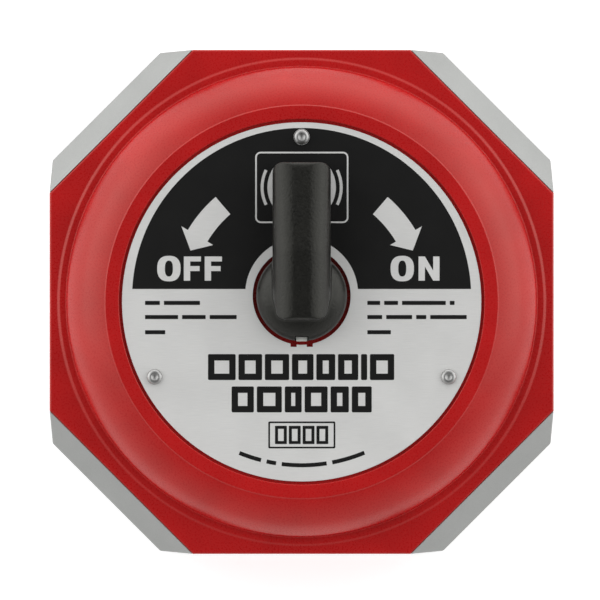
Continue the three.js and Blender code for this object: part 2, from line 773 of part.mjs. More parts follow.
piece(rotor, "rotor_carrier", carrier(), rotorAluminium);
piece(rotor, "upper_magnet", upperMagnet(), nickelMagnet);
[-1, 1].forEach((side, i) => {
  const pin = piece(rotor, `drive_dowel_${i + 1}`, dowel(2 * dowelDepth), brightSteel);
  pin.position.set(0, side * dowelCircle, upperMagnetTop + seatGap / 2 - dowelDepth);
});
const stopPinLength = dowelDepth + roofLevel - carrierTop + stopPinRise;
const stopPin = piece(rotor, "stop_pin", dowel(stopPinLength), brightSteel);
stopPin.position.set(0, stopCircle, carrierTop - dowelDepth);
piece(rotor, "spindle", spindle(), spindleSteel);
spindleScrewAngles().forEach((degrees, i) => {
  const [x, y] = onCircle(spindleScrewCircle, degrees);
  const level = carrierTop - seatGap;
  piece(rotor, `spindle_screw_${i + 1}`, spindleScrew(), blackSteel).position.set(x, y, level);
});
const washer = ring(bushRadius + bushFlangeWidth, spindleRadius + slipGap, 0, washerThickness);
piece(rotor, "thrust_washer", washer, bronze).position.set(0, 0, carrierTop + seatGap);

piece(rotor, "lever", lever(), blackPlastic);
const leverPin = rodX(leverPinRadius, leverWidth - 2 * slipGap, plateTop + leverPinAbove);
piece(rotor, "lever_pin", leverPin, brightSteel);
piece(rotor, "index_mark", indexMark(), whiteInlay);

export default holder;
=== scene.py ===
import math

import bmesh
import bpy
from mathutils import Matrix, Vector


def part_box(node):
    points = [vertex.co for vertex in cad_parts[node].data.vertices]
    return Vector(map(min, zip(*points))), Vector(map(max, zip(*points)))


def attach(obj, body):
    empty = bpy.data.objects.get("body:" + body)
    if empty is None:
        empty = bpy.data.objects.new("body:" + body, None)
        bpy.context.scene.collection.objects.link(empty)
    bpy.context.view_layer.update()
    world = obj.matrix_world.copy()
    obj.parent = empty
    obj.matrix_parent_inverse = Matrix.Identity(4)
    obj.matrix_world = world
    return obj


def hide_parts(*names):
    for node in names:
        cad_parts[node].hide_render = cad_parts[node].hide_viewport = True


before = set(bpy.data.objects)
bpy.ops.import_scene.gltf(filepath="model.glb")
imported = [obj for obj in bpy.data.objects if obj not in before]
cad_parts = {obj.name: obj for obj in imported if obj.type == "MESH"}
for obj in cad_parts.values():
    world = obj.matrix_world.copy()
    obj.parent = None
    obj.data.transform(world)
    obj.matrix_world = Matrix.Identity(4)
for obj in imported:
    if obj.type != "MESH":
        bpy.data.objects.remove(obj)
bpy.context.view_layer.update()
low = {node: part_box(node)[0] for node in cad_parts}
high = {node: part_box(node)[1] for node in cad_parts}
mm = 0.001
quarter = math.pi / 2
corners = {"ne": 45, "nw": 135, "sw": 225, "se": 315}

# levels and places that several pieces share
flangeTop = high["pole_shoe_ne"].z
bezelTop = high["housing"].z
plateTop = high["label_plate"].z
baseTop = high["base_plate"].z
halfFlat = high["housing"].x
axisY = (low["lever_pin"].y + high["lever_pin"].y) / 2  # the switch turns round x = 0, y = axisY


# modelling: each helper works on the active object

def only(piece):
    bpy.ops.object.select_all(action="DESELECT")
    piece.select_set(True)
    bpy.context.view_layer.objects.active = piece
    return piece


def placed(name):
    piece = bpy.context.object
    piece.name = name
    bpy.ops.object.transform_apply(location=True, rotation=True, scale=True)
    return piece


def addBlock(name, lowCorner, highCorner):
    bpy.ops.object.select_all(action="DESELECT")
    middle = [(a + b) / 2 for a, b in zip(lowCorner, highCorner)]
    size = [b - a for a, b in zip(lowCorner, highCorner)]
    bpy.ops.mesh.primitive_cube_add(size=1, location=middle, scale=size)
    return placed(name)


def addRod(name, radius, bottom, top, x=0, y=0, sides=96, along="Z"):
    bpy.ops.object.select_all(action="DESELECT")
    length, middle = top - bottom, (bottom + top) / 2
    place = {"X": (middle, x, y), "Y": (x, middle, y), "Z": (x, y, middle)}[along]
    turn = {"X": (0, quarter, 0), "Y": (quarter, 0, 0), "Z": (0, 0, 0)}[along]
    bpy.ops.mesh.primitive_cylinder_add(
        vertices=sides, radius=radius, depth=length, location=place, rotation=turn)
    return placed(name)


def addTurned(name, rings, x=0, y=0, sides=96):
    # a disc whose upper cap is extruded and scaled from ring to ring; a last radius of 0 closes on the axis
    bpy.ops.object.select_all(action="DESELECT")
    radius, level = rings[0]
    bpy.ops.mesh.primitive_circle_add(
        vertices=sides, radius=radius, fill_type="NGON", location=(x, y, level))
    piece = placed(name)
    bpy.ops.object.mode_set(mode="EDIT")
    bpy.ops.mesh.select_all(action="SELECT")
    for nextRadius, nextLevel in rings[1:]:
        bpy.ops.mesh.extrude_region_move(TRANSFORM_OT_translate={"value": (0, 0, nextLevel - level)})
        if nextRadius == 0:
            bpy.ops.mesh.merge(type="CENTER")
            break
        grow = nextRadius / radius
        bpy.ops.transform.resize(value=(grow, grow, 1), center_override=(x, y, nextLevel))
        radius, level = nextRadius, nextLevel
    facesOut()
    bpy.ops.object.mode_set(mode="OBJECT")
    return piece


def facesOut():
    bpy.ops.mesh.select_all(action="SELECT")
    bpy.ops.mesh.remove_doubles(threshold=0.002 * mm)
    bpy.ops.mesh.normals_make_consistent(inside=False)


def arcRings(middleRadius, middleLevel, radius, start, end, steps=8):
    angles = [math.radians(start + (end - start) * i / steps) for i in range(steps + 1)]
    return [(middleRadius + radius * math.cos(a), middleLevel + radius * math.sin(a)) for a in angles]


def pickEdges(test):
    # in edit mode: selects the edges whose two ends pass the test
    bpy.ops.mesh.select_mode(type="EDGE")
    bpy.ops.mesh.select_all(action="DESELECT")
    mesh = bmesh.from_edit_mesh(bpy.context.object.data)
    for edge in mesh.edges:
        edge.select_set(test(edge.verts[0].co, edge.verts[1].co))
    bmesh.update_edit_mesh(bpy.context.object.data)


def pickFaces(test):
    bpy.ops.mesh.select_mode(type="FACE")
    bpy.ops.mesh.select_all(action="DESELECT")
    mesh = bmesh.from_edit_mesh(bpy.context.object.data)
    for face in mesh.faces:
        face.select_set(test(face.calc_center_median(), face.normal))
    bmesh.update_edit_mesh(bpy.context.object.data)


def applyModifier(piece, kind, **settings):
    only(piece)
    modifier = piece.modifiers.new("step", kind)
    for key, value in settings.items():
        setattr(modifier, key, value)
    bpy.ops.object.modifier_apply(modifier=modifier.name)
    return piece


def combine(piece, tool, operation="DIFFERENCE"):
    applyModifier(piece, "BOOLEAN", object=tool, operation=operation, solver="EXACT")
    bpy.data.objects.remove(tool)
    return piece


def roundEdges(piece, width, segments=3, angle=30):
    return applyModifier(
        piece, "BEVEL", width=width, segments=segments, limit_method="ANGLE",
        angle_limit=math.radians(angle), use_clamp_overlap=True)


def copied(piece, name, turn=0, move=(0, 0, 0)):
    only(piece)
    bpy.ops.object.duplicate()
    twin = bpy.context.object
    twin.name = name
    twin.rotation_euler = (0, 0, math.radians(turn))
    twin.location = move
    bpy.ops.object.transform_apply(location=True, rotation=True, scale=True)
    return twin


def arcPoints(x, y, radiusX, radiusY, start, end, steps=24):
    angles = [math.radians(start + (end - start) * i / steps) for i in range(steps + 1)]
    return [(x + radiusX * math.cos(a), y + radiusY * math.sin(a)) for a in angles]


def boxPoints(left, bottom, right, top, corner=0.0):
    if corner == 0:
        return [(right, bottom), (right, top), (left, top), (left, bottom)]
    x0, y0, x1, y1 = left + corner, bottom + corner, right - corner, top - corner
    return [
        *arcPoints(x1, y1, corner, corner, 0, 90, 6), *arcPoints(x0, y1, corner, corner, 90, 180, 6),
        *arcPoints(x0, y0, corner, corner, 180, 270, 6), *arcPoints(x1, y0, corner, corner, 270, 360, 6)]


def addPlate(name, outlines, bottom, top, turn=(0, 0, 0), move=(0, 0, 0)):
    # flat outlines given a thickness; an outline inside another one is a hole
    curve = bpy.data.curves.new(name, "CURVE")
    curve.dimensions = "2D"
    curve.fill_mode = "BOTH"
    curve.extrude = (top - bottom) / 2
    for points in outlines:
        spline = curve.splines.new("POLY")
        spline.points.add(len(points) - 1)
        for point, (x, y) in zip(spline.points, points):
            point.co = (x, y, 0, 1)
        spline.use_cyclic_u = True
    plate = bpy.data.objects.new(name, curve)
    bpy.context.scene.collection.objects.link(plate)
    only(plate)
    bpy.ops.object.convert(target="MESH")
    plate = bpy.context.object
    plate.location.z = (bottom + top) / 2
    bpy.ops.object.transform_apply(location=True, rotation=False, scale=False)
    plate.rotation_euler = turn
    plate.location = move
    placed(name)
    bpy.ops.object.mode_set(mode="EDIT")
    facesOut()
    bpy.ops.object.mode_set(mode="OBJECT")
    return plate


def middleOf(node):
    return (low[node] + high[node]) / 2


def solidCopy(node, name):
    # a CAD node's own shape as a closed mesh to cut with
    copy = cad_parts[node].copy()
    copy.data = copy.data.copy()
    copy.name = name
    copy.parent = None
    for key in list(copy.keys()):
        del copy[key]
    bpy.context.scene.collection.objects.link(copy)
    only(copy)
    bpy.ops.object.mode_set(mode="EDIT")
    bpy.ops.mesh.select_all(action="SELECT")
    bpy.ops.mesh.remove_doubles(threshold=0.002 * mm)
    bpy.ops.object.mode_set(mode="OBJECT")
    return copy


def finished(piece, body, material, nodes=(), smooth=35):
    only(piece)
    bpy.ops.object.shade_smooth_by_angle(angle=math.radians(smooth))
    applyModifier(piece, "WEIGHTED_NORMAL", keep_sharp=True)
    piece.data.name = piece.name
    piece.data.materials.clear()
    piece.data.materials.append(material)
    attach(piece, body)
    if nodes:
        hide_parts(*nodes)
    return piece


# materials: shared effects first

def newGroup(name, inputs, outputs):
    group = bpy.data.node_groups.new(name, "ShaderNodeTree")
    for label, value in inputs.items():
        socket = group.interface.new_socket(name=label, in_out="INPUT", socket_type="NodeSocketFloat")
        socket.default_value = value
    for label in outputs:
        group.interface.new_socket(name=label, in_out="OUTPUT", socket_type="NodeSocketFloat")
    return group, group.nodes.new("NodeGroupInput"), group.nodes.new("NodeGroupOutput")


def noiseNode(tree, scale, detail=2, roughness=0.5):
    node = tree.nodes.new("ShaderNodeTexNoise")
    node.inputs["Scale"].default_value = scale
    node.inputs["Detail"].default_value = detail
    node.inputs["Roughness"].default_value = roughness
    return node


def makeGrainGroup():
    # fine pimples of a coat or a moulded skin, with a broad unevenness under them
    sizes = {"Grain size": 1.0, "Patch size": 20.0}  # mm
    group, start, end = newGroup("surfaceGrain", sizes, ["Grain", "Patches"])
    place = group.nodes.new("ShaderNodeTexCoord")
    for label, output, detail in (("Grain size", "Grain", 3), ("Patch size", "Patches", 2)):
        scale = group.nodes.new("ShaderNodeMath")
        scale.operation = "DIVIDE"
        scale.inputs[0].default_value = 1 / mm
        noise = noiseNode(group, 1, detail)
        group.links.new(start.outputs[label], scale.inputs[1])
        group.links.new(scale.outputs[0], noise.inputs["Scale"])
        group.links.new(place.outputs["Object"], noise.inputs["Vector"])
        group.links.new(noise.outputs["Fac"], end.inputs[output])
    return group


def makeBrushGroup():
    # hairlines: noise drawn out along one direction
    sizes = {"Line width": 0.1, "Stretch": 60.0}
    group, start, end = newGroup("brushedLines", sizes, ["Lines", "Cloud"])
    place = group.nodes.new("ShaderNodeTexCoord")
    split = group.nodes.new("ShaderNodeSeparateXYZ")
    merge = group.nodes.new("ShaderNodeCombineXYZ")
    shrink = group.nodes.new("ShaderNodeMath")
    shrink.operation = "DIVIDE"
    scale = group.nodes.new("ShaderNodeMath")
    scale.operation = "DIVIDE"
    scale.inputs[0].default_value = 1 / mm
    lines = noiseNode(group, 1, 3, 0.6)
    cloud = noiseNode(group, 90, 2)
    group.links.new(place.outputs["Object"], split.inputs[0])
    group.links.new(split.outputs["X"], shrink.inputs[0])
    group.links.new(start.outputs["Stretch"], shrink.inputs[1])
    group.links.new(shrink.outputs[0], merge.inputs["X"])
    group.links.new(split.outputs["Y"], merge.inputs["Y"])
    group.links.new(split.outputs["Z"], merge.inputs["Z"])
    group.links.new(start.outputs["Line width"], scale.inputs[1])
    group.links.new(scale.outputs[0], lines.inputs["Scale"])
    group.links.new(merge.outputs[0], lines.inputs["Vector"])
    group.links.new(place.outputs["Object"], cloud.inputs["Vector"])
    group.links.new(lines.outputs["Fac"], end.inputs["Lines"])
    group.links.new(cloud.outputs["Fac"], end.inputs["Cloud"])
    return group


grainGroup = makeGrainGroup()
brushGroup = makeBrushGroup()


def newMaterial(name, **sockets):
    material = bpy.data.materials.new(name)
    material.use_nodes = True
    shader = material.node_tree.nodes["Principled BSDF"]
    for label, value in sockets.items():
        shader.inputs[label.replace("_", " ")].default_value = value
    return material, material.node_tree, shader


def addGroup(tree, group, **values):
    node = tree.nodes.new("ShaderNodeGroup")
    node.node_tree = group
    for label, value in values.items():
        node.inputs[label.replace("_", " ")].default_value = value
    return node


def blendColour(tree, factor, dark, light, target, low=0.3, high=0.7):
    ramp = tree.nodes.new("ShaderNodeValToRGB")
    ramp.color_ramp.elements[0].position = low
    ramp.color_ramp.elements[1].position = high
    ramp.color_ramp.elements[0].color = (*dark, 1)
    ramp.color_ramp.elements[1].color = (*light, 1)
    tree.links.new(factor, ramp.inputs["Fac"])
    tree.links.new(ramp.outputs["Color"], target)


def blendValue(tree, factor, least, most, target, low=0.3, high=0.7):
    spread = tree.nodes.new("ShaderNodeMapRange")
    spread.inputs["From Min"].default_value = low
    spread.inputs["From Max"].default_value = high
    spread.inputs["To Min"].default_value = least
    spread.inputs["To Max"].default_value = most
    tree.links.new(factor, spread.inputs["Value"])
    tree.links.new(spread.outputs["Result"], target)


def addBump(tree, shader, height, distance, strength=1.0):
    bump = tree.nodes.new("ShaderNodeBump")
    bump.inputs["Distance"].default_value = distance
    bump.inputs["Strength"].default_value = strength
    tree.links.new(height, bump.inputs["Height"])
    tree.links.new(bump.outputs["Normal"], shader.inputs["Normal"])


def grainMaterial(name, dark, light, rough, grain, patch, depth, **sockets):
    material, tree, shader = newMaterial(name, **sockets)
    effect = addGroup(tree, grainGroup, Grain_size=grain, Patch_size=patch)
    blendColour(tree, effect.outputs["Patches"], dark, light, shader.inputs["Base Color"])
    blendValue(tree, effect.outputs["Grain"], *rough, shader.inputs["Roughness"])
    addBump(tree, shader, effect.outputs["Grain"], depth * mm)
    return material


def brushedMaterial(name, dark, light, rough, width, stretch, depth, **sockets):
    material, tree, shader = newMaterial(name, **sockets)
    effect = addGroup(tree, brushGroup, Line_width=width, Stretch=stretch)
    blendColour(tree, effect.outputs["Lines"], dark, light, shader.inputs["Base Color"])
    blendValue(tree, effect.outputs["Cloud"], *rough, shader.inputs["Roughness"])
    addBump(tree, shader, effect.outputs["Lines"], depth * mm)
    return material


redCoat = grainMaterial(
    "redPowderCoat", (0.468, 0.0055, 0.007), (0.54, 0.0075, 0.009), (0.24, 0.34), 0.6, 14, 0.014,
    Specular_IOR_Level=0.56, Specular_Tint=(1, 1, 0.88, 1))
poleSteel = brushedMaterial(
    "platedPoleSteel", (0.345, 0.35, 0.34), (0.415, 0.42, 0.41), (0.42, 0.52), 0.12, 12, 0.004,
    Metallic=0.8)
baseSteel = brushedMaterial(
    "groundBaseSteel", (0.42, 0.42, 0.42), (0.55, 0.55, 0.54), (0.30, 0.42), 0.10, 50, 0.006, Metallic=1)
labelAluminium = brushedMaterial(
    "brushedLabelAluminium", (0.76, 0.76, 0.745), (0.85, 0.85, 0.835), (0.45, 0.55), 0.07, 70, 0.003,
    Metallic=0.3)
labelBlack = grainMaterial(
    "blackLabelPrint", (0.0045, 0.0045, 0.0044), (0.0062, 0.0062, 0.006), (0.5, 0.6), 0.2, 9, 0.002,
    Specular_IOR_Level=0.22)
rivetMetal = grainMaterial(
    "brightRivetMetal", (0.40, 0.40, 0.395), (0.50, 0.50, 0.49), (0.30, 0.42), 0.3, 3, 0.006, Metallic=1)
blackNylon = grainMaterial(
    "mouldedBlackNylon", (0.0055, 0.0055, 0.005), (0.0085, 0.0083, 0.0072), (0.27, 0.40), 0.75, 6, 0.08,
    Specular_IOR_Level=0.45, Specular_Tint=(1, 1, 0.92, 1))
whiteInlay = grainMaterial(
    "whiteInlayPaint", (0.76, 0.77, 0.72), (0.84, 0.85, 0.80), (0.45, 0.6), 0.3, 2, 0.01)
screwSteel = grainMaterial(
    "blackenedScrewSteel", (0.05, 0.05, 0.052), (0.08, 0.08, 0.082), (0.3, 0.42), 0.25, 2, 0.004,
    Metallic=0.9)
nickelPlate = grainMaterial(
    "nickelPlate", (0.60, 0.58, 0.53), (0.66, 0.64, 0.60), (0.16, 0.24), 0.5, 12, 0.002, Metallic=1)
rotorAluminium = brushedMaterial(
    "turnedAluminium", (0.58, 0.59, 0.60), (0.68, 0.69, 0.70), (0.3, 0.4), 0.12, 8, 0.004, Metallic=1)
spindleSteel = brushedMaterial(
    "turnedSpindleSteel", (0.48, 0.48, 0.49), (0.56, 0.56, 0.57), (0.2, 0.3), 0.1, 8, 0.003, Metallic=1)
bronze = grainMaterial(
    "turnedBronze", (0.44, 0.24, 0.08), (0.52, 0.30, 0.11), (0.24, 0.36), 0.4, 6, 0.004, Metallic=1)
brightSteel = grainMaterial(
    "groundBrightSteel", (0.60, 0.61, 0.62), (0.66, 0.67, 0.68), (0.1, 0.18), 0.3, 4, 0.001, Metallic=1)
sealRubber = grainMaterial(
    "nitrileRubber", (0.010, 0.010, 0.010), (0.018, 0.018, 0.018), (0.5, 0.7), 0.3, 3, 0.01)
print("materials:", len(bpy.data.materials))


# housing: octagonal flange and body, with the domed cover on top

cover = {
    "cornerCut": 42.6 * mm,  # along each flat
    "edgeRound": 0.6 * mm,
    "step": (72.9 * mm, 71.8 * mm, 0.4 * mm),  # outer and inner radius and height of the step round the dome
    "fillet": 0.25 * mm,
    "footRound": 1.5 * mm,
    "shoulder": 17.8 * mm,
    "slopes": (82, 60, 15),  # degrees: the wall at the foot, the shoulder's outer end and its inner end
    "ridge": (58.7 * mm, 58.2 * mm, 0.3 * mm),  # outer and inner radius and height of the bezel's rim
    "recessRadius": 54.24 * mm,
    "recess": 1.6 * mm,
    "recessRound": 0.3 * mm,
    "skin": 3 * mm,  # the hollows stay this far inside and open through windows and bores
    "coreRadius": 50 * mm,  # where they may reach up under the dome
    "window": (22.3 * mm, 31 * mm),  # half width and top of the opening for a pole shoe's neck
    "plugBore": 4.3 * mm,
    "bushBore": 8.25 * mm,
    "rivetBore": 1.7 * mm,
    "groove": (12.2 * mm, 15.3 * mm, 1.8 * mm),  # radii and depth of the groove round the lever's hub
    "sides": 256,
}
recessLevel = bezelTop - cover["recess"]
halfCut = (2 * halfFlat - cover["cornerCut"]) / math.sqrt(2)  # centre to a cut corner


def octagonBlock(name, half, cornerCut, bottom, top, edgeRound=0.0):
    block = addBlock(name, (-half, -half, bottom), (half, half, top))
    bpy.ops.object.mode_set(mode="EDIT")
    pickEdges(lambda a, b: abs(a.z - b.z) > 0.5 * (top - bottom))
    bpy.ops.mesh.bevel(offset=cornerCut, offset_type="OFFSET", segments=1, affect="EDGES")
    if edgeRound > 0:
        pickEdges(lambda a, b: a.z > top - mm / 10 and b.z > top - mm / 10)
        bpy.ops.mesh.bevel(offset=edgeRound, segments=8, affect="EDGES")
    bpy.ops.object.mode_set(mode="OBJECT")
    return block


def softStep(outer, inner, level, rise, steps=10):
    # rings of a step that starts and ends level
    shares = [i / steps for i in range(steps + 1)]
    return [(outer + (inner - outer) * t, level + rise * (1 - math.cos(math.pi * t)) / 2) for t in shares]


def domeRings(sizes):
    wallSlope, outerSlope, innerSlope = sizes["slopes"]
    wall, steep, flat = [math.radians(angle) for angle in sizes["slopes"]]
    stepOuter, stepInner, stepHeight = sizes["step"]
    rimOuter, rimInner, rimHeight = sizes["ridge"]
    fillet, foot, shoulder = sizes["fillet"], sizes["footRound"], sizes["shoulder"]
    recess, rim = sizes["recessRadius"], sizes["recessRound"]
    land = flangeTop + stepHeight
    crownRadius = rimOuter - shoulder * math.sin(flat)
    crownLevel = bezelTop - rimHeight - shoulder * math.cos(flat)
    footRadius = crownRadius + (shoulder - foot) * math.sin(steep)
    footLevel = crownLevel + (shoulder - foot) * math.cos(steep)
    drop = footLevel + foot * math.cos(wall) - land - fillet * (1 - math.cos(wall))
    filletRadius = footRadius + (foot + fillet) * math.sin(wall) + drop / math.tan(wall)
    return [
        (stepOuter, flangeTop - sizes["skin"]),
        *softStep(stepOuter, stepInner, flangeTop, stepHeight),
        *arcRings(filletRadius, land + fillet, fillet, -90, -90 - wallSlope, 8),
        *arcRings(footRadius, footLevel, foot, 90 - wallSlope, 90 - outerSlope, 6)[:-1],
        *arcRings(crownRadius, crownLevel, shoulder, 90 - outerSlope, 90 - innerSlope, 24),
        *softStep(rimOuter, rimInner, bezelTop - rimHeight, rimHeight)[1:],
        *arcRings(recess + rim, bezelTop - rim, rim, 90, 180, 9),
        (recess, recessLevel),
    ]


def makeCover(sizes):
    body = octagonBlock(
        "cover", halfFlat, sizes["cornerCut"], low["housing"].z, flangeTop, sizes["edgeRound"])
    combine(body, addTurned("dome", domeRings(sizes), sides=sizes["sides"]), "UNION")
    skin, reach = sizes["skin"], halfFlat * 1.5
    inset = sizes["cornerCut"] - skin * (2 - math.sqrt(2))
    hollows = octagonBlock("hollows", halfFlat - skin, inset, 0, flangeTop - skin)
    core = addRod("core", sizes["coreRadius"], mm, recessLevel - mm, sides=64)
    combine(hollows, core, "UNION")
    combine(hollows, solidCopy("housing", "housingCopy"))
    combine(body, hollows)
    half, top = sizes["window"]
    window = addBlock("window", (halfCut - 2 * skin, -half, -mm), (reach, half, top))
    for name, turn in corners.items():
        combine(body, copied(window, "window_" + name, turn))
    bpy.data.objects.remove(window)
    plug = middleOf("detent_plug")
    inside = skin / 2 - halfFlat
    combine(body, addRod("plugBore", sizes["plugBore"], -reach, inside, plug.x, plug.z, along="Y"))
    combine(body, addRod("bushBore", sizes["bushBore"], recessLevel - 2 * mm, bezelTop, y=axisY))
    for node in ("label_rivet_1", "label_rivet_2", "label_rivet_3"):
        x, y, z = middleOf(node)
        combine(body, addRod("rivetBore", sizes["rivetBore"], recessLevel - 2 * mm, bezelTop, x, y, 32))
    inner, outer, depth = sizes["groove"]
    groove = addRod("groove", outer, recessLevel - depth, recessLevel + mm / 2, y=axisY, sides=128)
    combine(groove, addRod("grooveCore", inner, recessLevel - 2 * depth, bezelTop, y=axisY, sides=128))
    combine(body, groove)
    return finished(body, "holder", redCoat, ["housing"], smooth=12)


coverPiece = makeCover(cover)
print("cover:", len(coverPiece.data.polygons), "faces")


# pole shoes: a bevelled head outside each cut corner and a neck that reaches in to the rotor

shoe = {
    "gap": 0.03 * mm,
    "standout": 6.3 * mm,
    "endRelief": 1.2 * mm,
    "bevelDepth": 6 * mm,
    "edgeRound": 0.35 * mm,
    "neckHalf": 21.99 * mm,
    "neckLevels": (4.15 * mm, 30.85 * mm),
    "airRadius": 39.1 * mm,
    "screwBore": (2.7 * mm, 15 * mm),  # radius and depth
    "screwPlace": (14 * mm, 11 * mm),  # in from the cut corner, and to each side
}


def makeShoes(sizes):
    near, far = halfCut + sizes["gap"], halfCut + sizes["standout"]
    cornerReach = halfFlat * math.sqrt(2)
    nearHalf, farHalf = cornerReach - near, cornerReach - far - sizes["endRelief"]
    head = addBlock("shoeHead", (near, -nearHalf, 0), (far, nearHalf, flangeTop))
    bpy.ops.object.mode_set(mode="EDIT")
    pickFaces(lambda place, normal: normal.x > 0.9)
    bpy.ops.transform.resize(value=(1, farHalf / nearHalf, 1), center_override=(far, 0, 0))
    pickEdges(lambda a, b: min(a.x, b.x) > far - mm / 10 and min(a.z, b.z) > flangeTop - mm / 10)
    bpy.ops.transform.translate(value=(0, 0, -sizes["bevelDepth"]))
    bpy.ops.object.mode_set(mode="OBJECT")
    roundEdges(head, sizes["edgeRound"])
    bottom, top = sizes["neckLevels"]
    half = sizes["neckHalf"]
    combine(head, addBlock("neck", (cornerReach / 8, -half, bottom), (near + mm, half, top)), "UNION")
    radius, depth = sizes["screwBore"]
    inward, across = sizes["screwPlace"]
    for side in (-1, 1):
        combine(head, addRod("shoeBore", radius, -mm, depth, halfCut - inward, side * across, 48))
    for name, turn in corners.items():
        piece = copied(head, "poleShoe_" + name, turn)
        combine(piece, addRod("airCut", sizes["airRadius"], -mm, flangeTop, y=axisY, sides=256))
        finished(piece, "holder", poleSteel, ["pole_shoe_" + name])
    bpy.data.objects.remove(head)


makeShoes(shoe)
print("pole shoes")


# base plate with its countersunk screws

screw = {
    "head": 4.7 * mm,
    "shank": 2.4 * mm,
    "length": 14 * mm,
    "rim": 1.692 * mm,  # height of the head's straight rim, and depth of its socket
    "edge": 0.2 * mm,
    "gap": 0.3 * mm,
    "plateRound": 0.4 * mm,
    "dowelBore": (2.15 * mm, 2.6 * mm),  # radius, and depth below the top of the plate
}


def makeBase(sizes):
    plate = octagonBlock("basePlate", halfFlat, cover["cornerCut"], 0, baseTop)
    roundEdges(plate, sizes["plateRound"])
    head, shank = sizes["head"] + sizes["gap"], sizes["shank"] + sizes["gap"]
    cone = sizes["rim"] + sizes["head"] - sizes["shank"]
    screws = [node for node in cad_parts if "shoe_screw" in node or "housing_screw" in node]
    for node in screws:
        x, y, z = middleOf(node)
        rings = [(head, -mm), (head, sizes["rim"]), (shank, cone), (shank, baseTop + mm)]
        combine(plate, addTurned("screwBore", rings, x, y, 48))
    radius, depth = sizes["dowelBore"]
    for node in ("magnet_dowel_1", "magnet_dowel_2"):
        x, y, z = middleOf(node)
        combine(plate, addRod("dowelBore", radius, baseTop - depth, baseTop + mm, x, y, 48))
    finished(plate, "holder", baseSteel, ["base_plate"])
    head, shank, rim, edge, end = [sizes[key] for key in ("head", "shank", "rim", "edge", "length")]
    one = addTurned("screwShape", [
        (head - edge, 0), (head, edge), (head, rim - edge), (head - edge, rim), (shank, cone),
        (shank, end - 2 * edge), (shank - 2 * edge, end)], sides=64)
    combine(one, addRod("hexSocket", rim, -mm, rim, sides=6))
    for node in screws:
        x, y, z = middleOf(node)
        piece = copied(one, "screw_" + node.replace("_screw", ""), move=(x, y, 0))
        finished(piece, "holder", screwSteel, [node])
    bpy.data.objects.remove(one)


makeBase(screw)
print("base plate and screws")


# plug of the detent bore, in the front flat

plug = {"edge": 0.4 * mm, "socket": 2 * mm, "socketDepth": 4 * mm}


def makePlug(sizes):
    middle = middleOf("detent_plug")
    outside, inside = low["detent_plug"].y, high["detent_plug"].y
    radius = high["detent_plug"].x - middle.x
    piece = addRod("detentPlug", radius, outside, inside, middle.x, middle.z, along="Y")
    roundEdges(piece, sizes["edge"])
    socket = addRod("plugSocket", sizes["socket"], outside - mm, outside + sizes["socketDepth"],
                    middle.x, middle.z, 6, "Y")
    combine(piece, socket)
    return finished(piece, "holder", screwSteel, ["detent_plug"])


makePlug(plug)


# label plate, its rivets and its print

label = {
    "hole": 14.55 * mm,
    "edgeRound": 0.12 * mm,
    "slot": (1.5 * mm, 3.3 * mm, 0.6 * mm, 6 * mm),  # from, to, depth and height of the cuts beside the tab
    "rivetBore": 1.7 * mm,
}


def makeLabel(sizes):
    bottom, top = low["label_plate"].z, plateTop
    plate = addRod("labelPlate", high["label_plate"].x, bottom, top, sides=256)
    roundEdges(plate, sizes["edgeRound"], 2)
    combine(plate, addRod("labelHole", sizes["hole"], bottom - mm, top + mm, y=axisY, sides=128))
    near, far, depth, height = sizes["slot"]
    lowest = axisY - sizes["hole"] - depth
    for left, right in ((-far, -near), (near, far)):
        combine(plate, addBlock("tabSlot", (left, lowest, bottom - mm), (right, lowest + height, top + mm)))
    for node in ("label_rivet_1", "label_rivet_2", "label_rivet_3"):
        x, y, z = middleOf(node)
        combine(plate, addRod("plateBore", sizes["rivetBore"], bottom - mm, top + mm, x, y, 32))
    return finished(plate, "holder", labelAluminium, ["label_plate"])


makeLabel(label)

rivet = {
    "shank": 1.4 * mm,
    "head": 2.3 * mm,
    "rim": 0.35 * mm,
    "dimple": 1.15 * mm,
    "dimpleDepth": 0.3 * mm,
}


def makeRivets(sizes):
    top, bottom = high["label_rivet_1"].z, low["label_rivet_1"].z
    head, rim, dimple = sizes["head"], sizes["rim"], sizes["dimple"]
    rise = top - plateTop - rim
    turns = [math.radians(angle) for angle in range(0, 91, 10)]
    crown = [(dimple + (head - dimple) * math.cos(a), plateTop + rim + rise * math.sin(a)) for a in turns]
    bowl = [(dimple * (1 - share), top - sizes["dimpleDepth"] * math.sin(share * quarter))
            for share in (0.15, 0.35, 0.6, 0.85)]
    one = addTurned("rivetShape", [
        (sizes["shank"], bottom), (sizes["shank"], plateTop), (head, plateTop), *crown, *bowl,
        (0, top - sizes["dimpleDepth"])], sides=64)
    for number in ("1", "2", "3"):
        x, y, z = middleOf("label_rivet_" + number)
        piece = copied(one, "labelRivet_" + number, move=(x, y, 0))
        finished(piece, "holder", rivetMetal, ["label_rivet_" + number])
    bpy.data.objects.remove(one)


makeRivets(rivet)
print("label plate and rivets")

